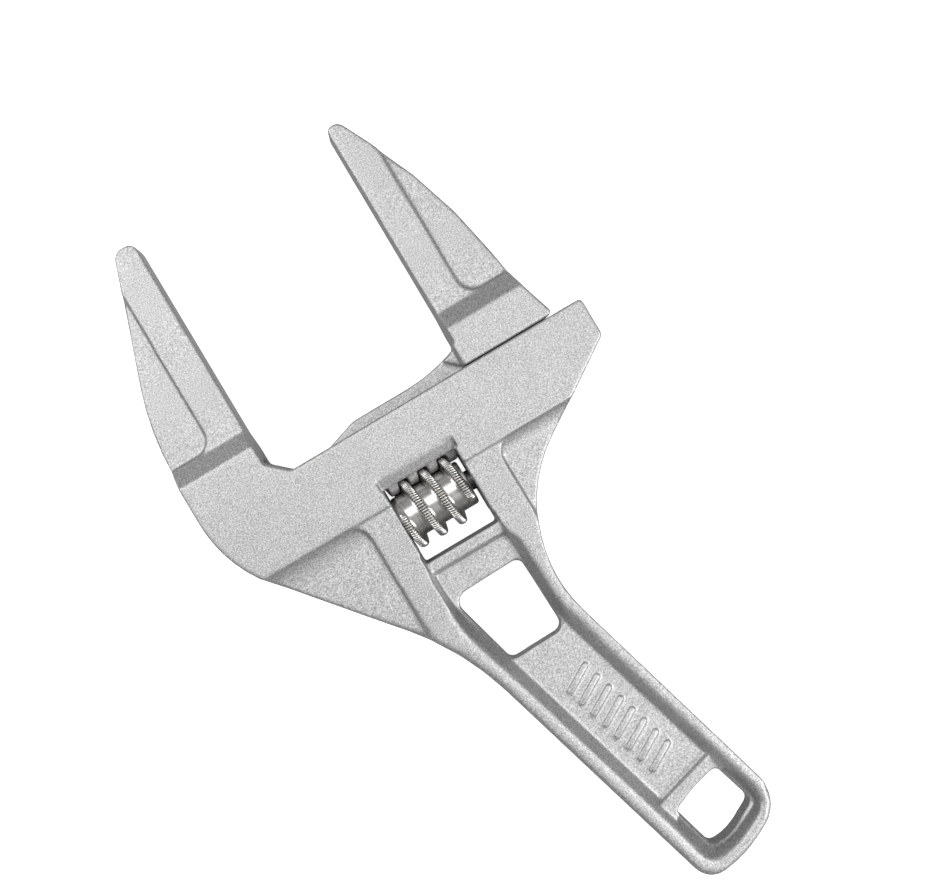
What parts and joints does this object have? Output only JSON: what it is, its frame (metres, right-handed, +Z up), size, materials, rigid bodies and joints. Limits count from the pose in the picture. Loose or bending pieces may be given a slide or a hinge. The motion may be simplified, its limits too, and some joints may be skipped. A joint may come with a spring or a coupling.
{
  "type": "adjustable plumbing wrench",
  "caption": "Cast aluminium adjustable wrench with long smooth parallel jaws, a worm and rack that slide one jaw, and a rimmed handle with a hanging hole.",
  "frame": {"origin": "under the middle of the wrench as it lies flat on its back, on the surface it lies on: bottom centre of the bounding box with the jaws 53.5 mm apart", "axes": "+Z up out of the front face, +Y towards the tips of the jaws, +X the way the sliding jaw opens along the rail"},
  "size_m": [0.1052, 0.2024, 0.017],
  "materials": {
    "body_casting": "satin, grit blasted casting",
    "jaw_casting": "satin, grit blasted casting",
    "worm_steel": "bright nickel plate",
    "pin_steel": "plain turned steel",
    "spring_steel": "dark spring wire"
  },
  "bodies": {
    "frame": {"wrench_body": "body_casting", "worm_pin": "pin_steel", "worm_spring": "spring_steel"},
    "jaw": {"sliding_jaw": "jaw_casting"},
    "worm": {"worm_screw": "worm_steel"}
  },
  "joints": [
    {"name": "jaw_slide", "type": "slide", "parent": "frame", "child": "jaw", "axis": [1, 0, 0], "range_m": [-0.0475, 0.0145]},
    {"name": "worm_spin", "type": "hinge", "parent": "frame", "child": "worm", "pos_m": [-0.00178, 0.01038, 0.0085], "axis": [1, 0, 0], "range_deg": [-968, 3168]}
  ],
  "couplings": [
    {"joint": "worm_spin", "follows": "jaw_slide", "rad_per_m": -1163.6}
  ]
}
